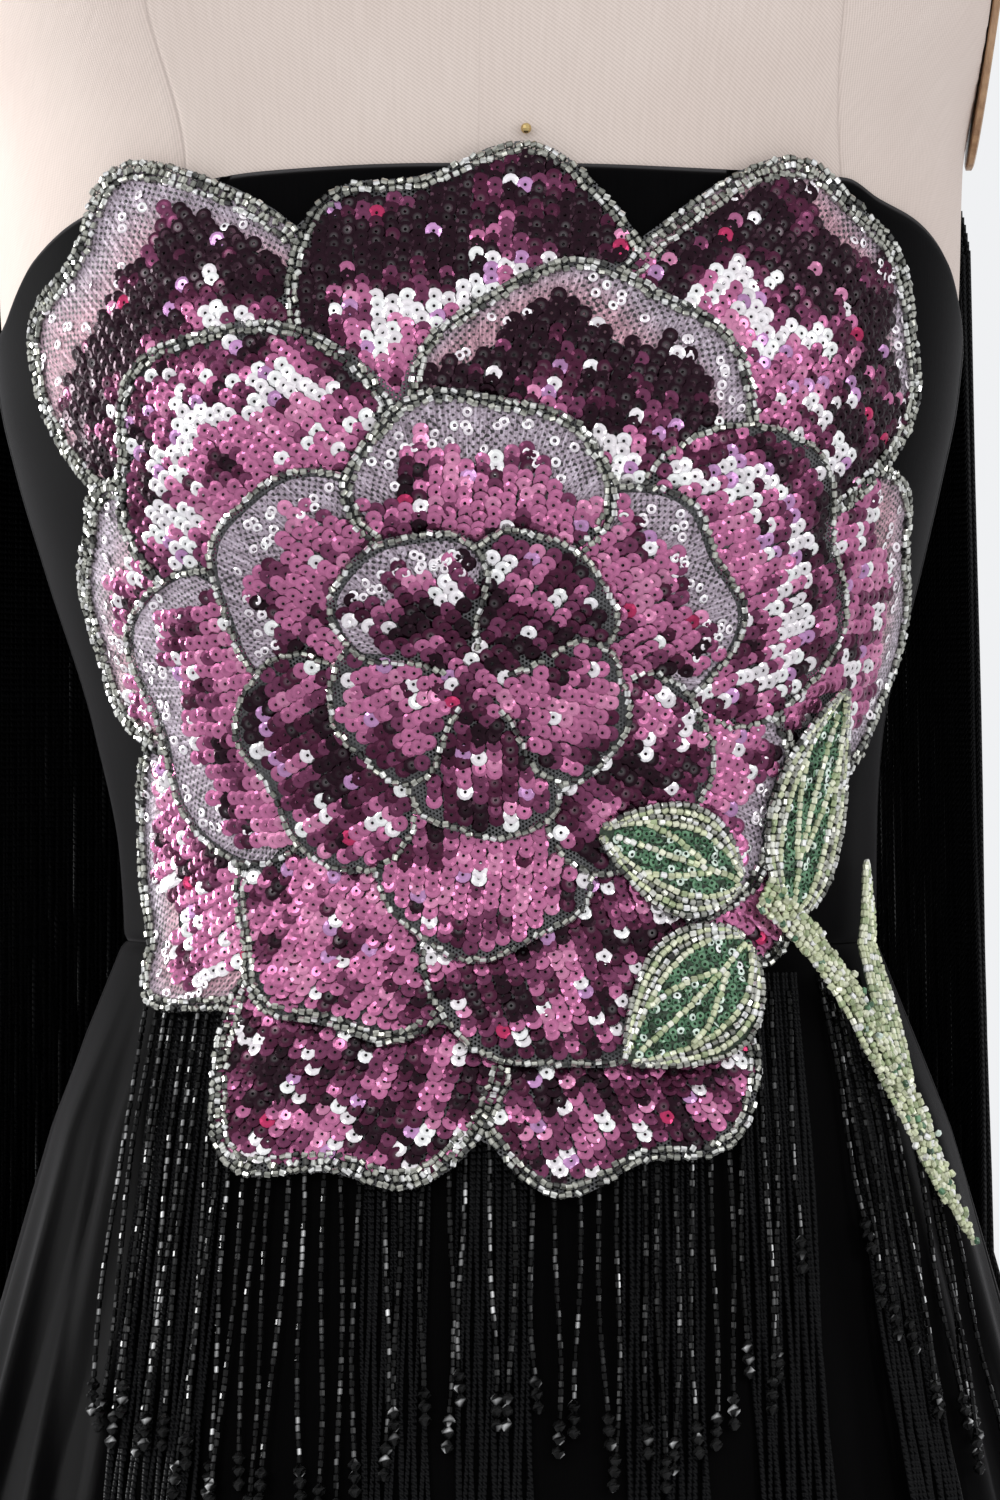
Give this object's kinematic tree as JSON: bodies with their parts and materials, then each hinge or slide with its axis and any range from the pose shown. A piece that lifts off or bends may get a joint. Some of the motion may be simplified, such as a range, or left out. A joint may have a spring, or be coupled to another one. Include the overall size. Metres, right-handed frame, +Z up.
{
  "type": "sequin evening gown on a dress form",
  "caption": "Strapless black evening gown with a large sequin bloom, beaded and thread fringe, on a linen dress form.",
  "frame": {"origin": "centre of the stand base's underside, on the floor", "axes": "+Z up the stand and the body, -Y the way the gown faces, +X the wearer's left"},
  "size_m": [0.8011, 0.6666, 1.5103],
  "materials": {
    "bodice_crepe": "matt black crepe",
    "skirt_crepe": "matt black crepe with a soft sheen",
    "zip_tape": "black woven zip tape",
    "sequins": "metallic mauve and plum sequins on net",
    "green_beads": "pale and deep green glass beads",
    "black_beads": "glossy black glass beads",
    "fringe_thread": "black rayon fringe",
    "form_linen": "matt natural linen",
    "form_wood": "waxed wood",
    "stand_metal": "satin",
    "pin_brass": "polished"
  },
  "bodies": {
    "root": {"bodice_centre_front": "bodice_crepe", "bodice_side_front_left": "bodice_crepe", "bodice_side_back_left": "bodice_crepe", "bodice_back_left": "bodice_crepe", "bodice_back_right": "bodice_crepe", "bodice_side_back_right": "bodice_crepe", "bodice_side_front_right": "bodice_crepe", "skirt_centre_front": "skirt_crepe", "skirt_side_front_left": "skirt_crepe", "skirt_side_back_left": "skirt_crepe", "skirt_back_left": "skirt_crepe", "skirt_back_right": "skirt_crepe", "skirt_side_back_right": "skirt_crepe", "skirt_side_front_right": "skirt_crepe", "back_zip": "zip_tape", "bloom_outer": "sequins", "bloom_middle": "sequins", "bloom_inner": "sequins", "bloom_heart": "sequins", "leaf_high": "green_beads", "leaf_inward": "green_beads", "leaf_low": "green_beads", "leaf_slender": "green_beads", "stem": "green_beads", "bead_fringe_right": "black_beads", "bead_fringe_centre": "black_beads", "bead_fringe_left": "black_beads", "bead_fringe_stem": "black_beads", "chain_fringe_a": "fringe_thread", "chain_fringe_b": "fringe_thread", "chain_fringe_c": "fringe_thread", "chain_fringe_d": "fringe_thread", "chain_fringe_e": "fringe_thread", "chain_fringe_f": "fringe_thread", "back_fringe_left": "fringe_thread", "back_fringe_right": "fringe_thread", "form_body": "form_linen", "form_neck_cap": "form_wood", "form_armhole_left": "form_wood", "form_armhole_right": "form_wood", "form_collar": "stand_metal", "stand_pole": "stand_metal", "stand_base": "stand_metal", "form_pin": "pin_brass"}
  },
  "joints": []
}
